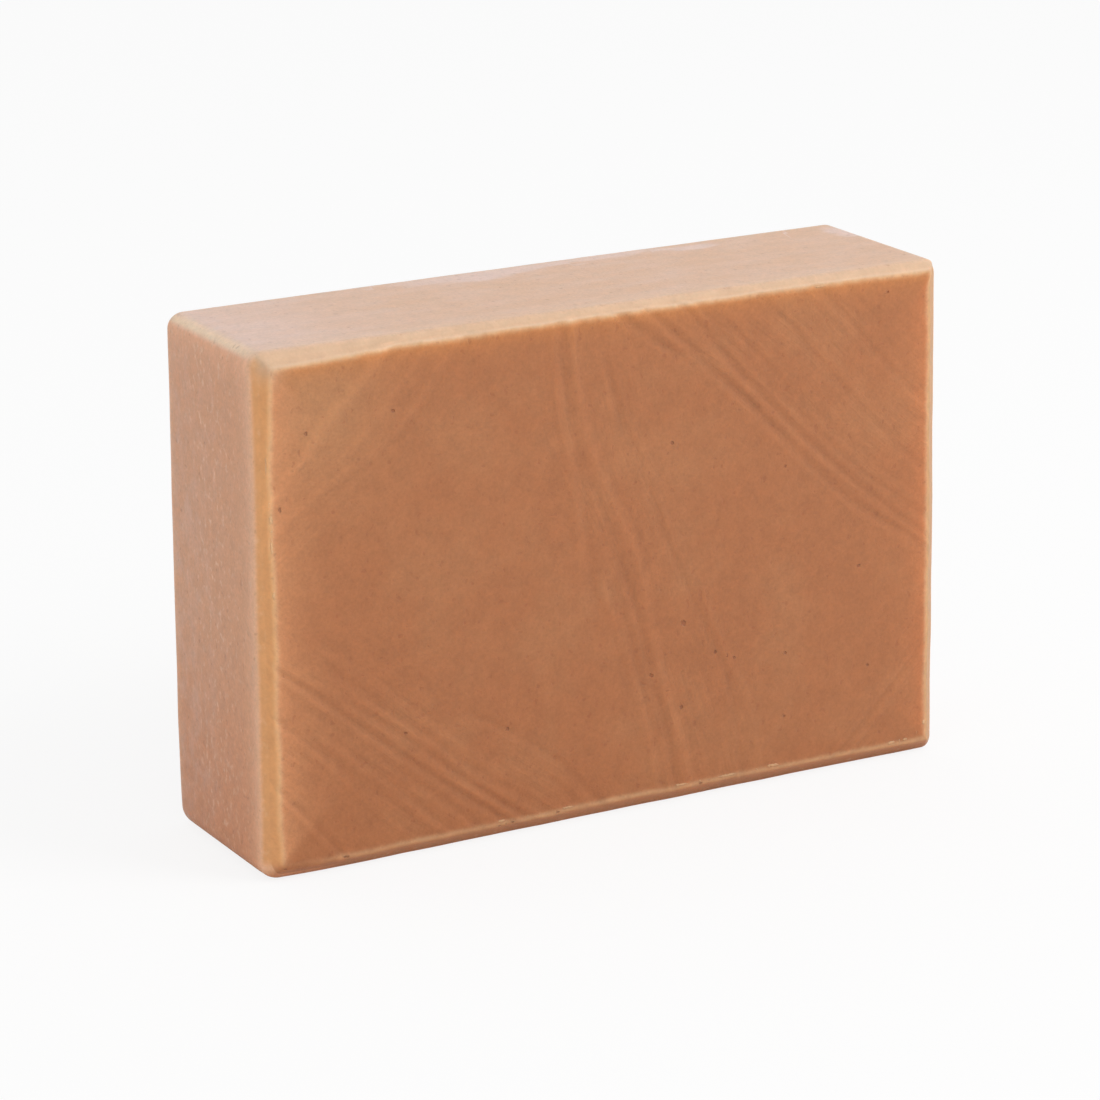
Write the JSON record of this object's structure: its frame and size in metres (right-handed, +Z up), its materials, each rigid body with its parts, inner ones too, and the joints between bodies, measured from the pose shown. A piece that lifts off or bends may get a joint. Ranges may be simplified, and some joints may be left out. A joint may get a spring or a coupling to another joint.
{
  "type": "bar of soap",
  "caption": "Rectangular bar of handmade soap with hand-planed edges, softly rounded corners and curved wire marks across its cut faces.",
  "frame": {"origin": "middle of the foot that the bar stands on, at the centre of its bounding box", "axes": "+X along the length of the bar, -Y towards the near cut face, +Z up"},
  "size_m": [0.0884, 0.0246, 0.06],
  "materials": {
    "soap": "smooth waxy soap, matte with a soft sheen"
  },
  "bodies": {
    "root": {"soap_bar": "soap"}
  },
  "joints": []
}
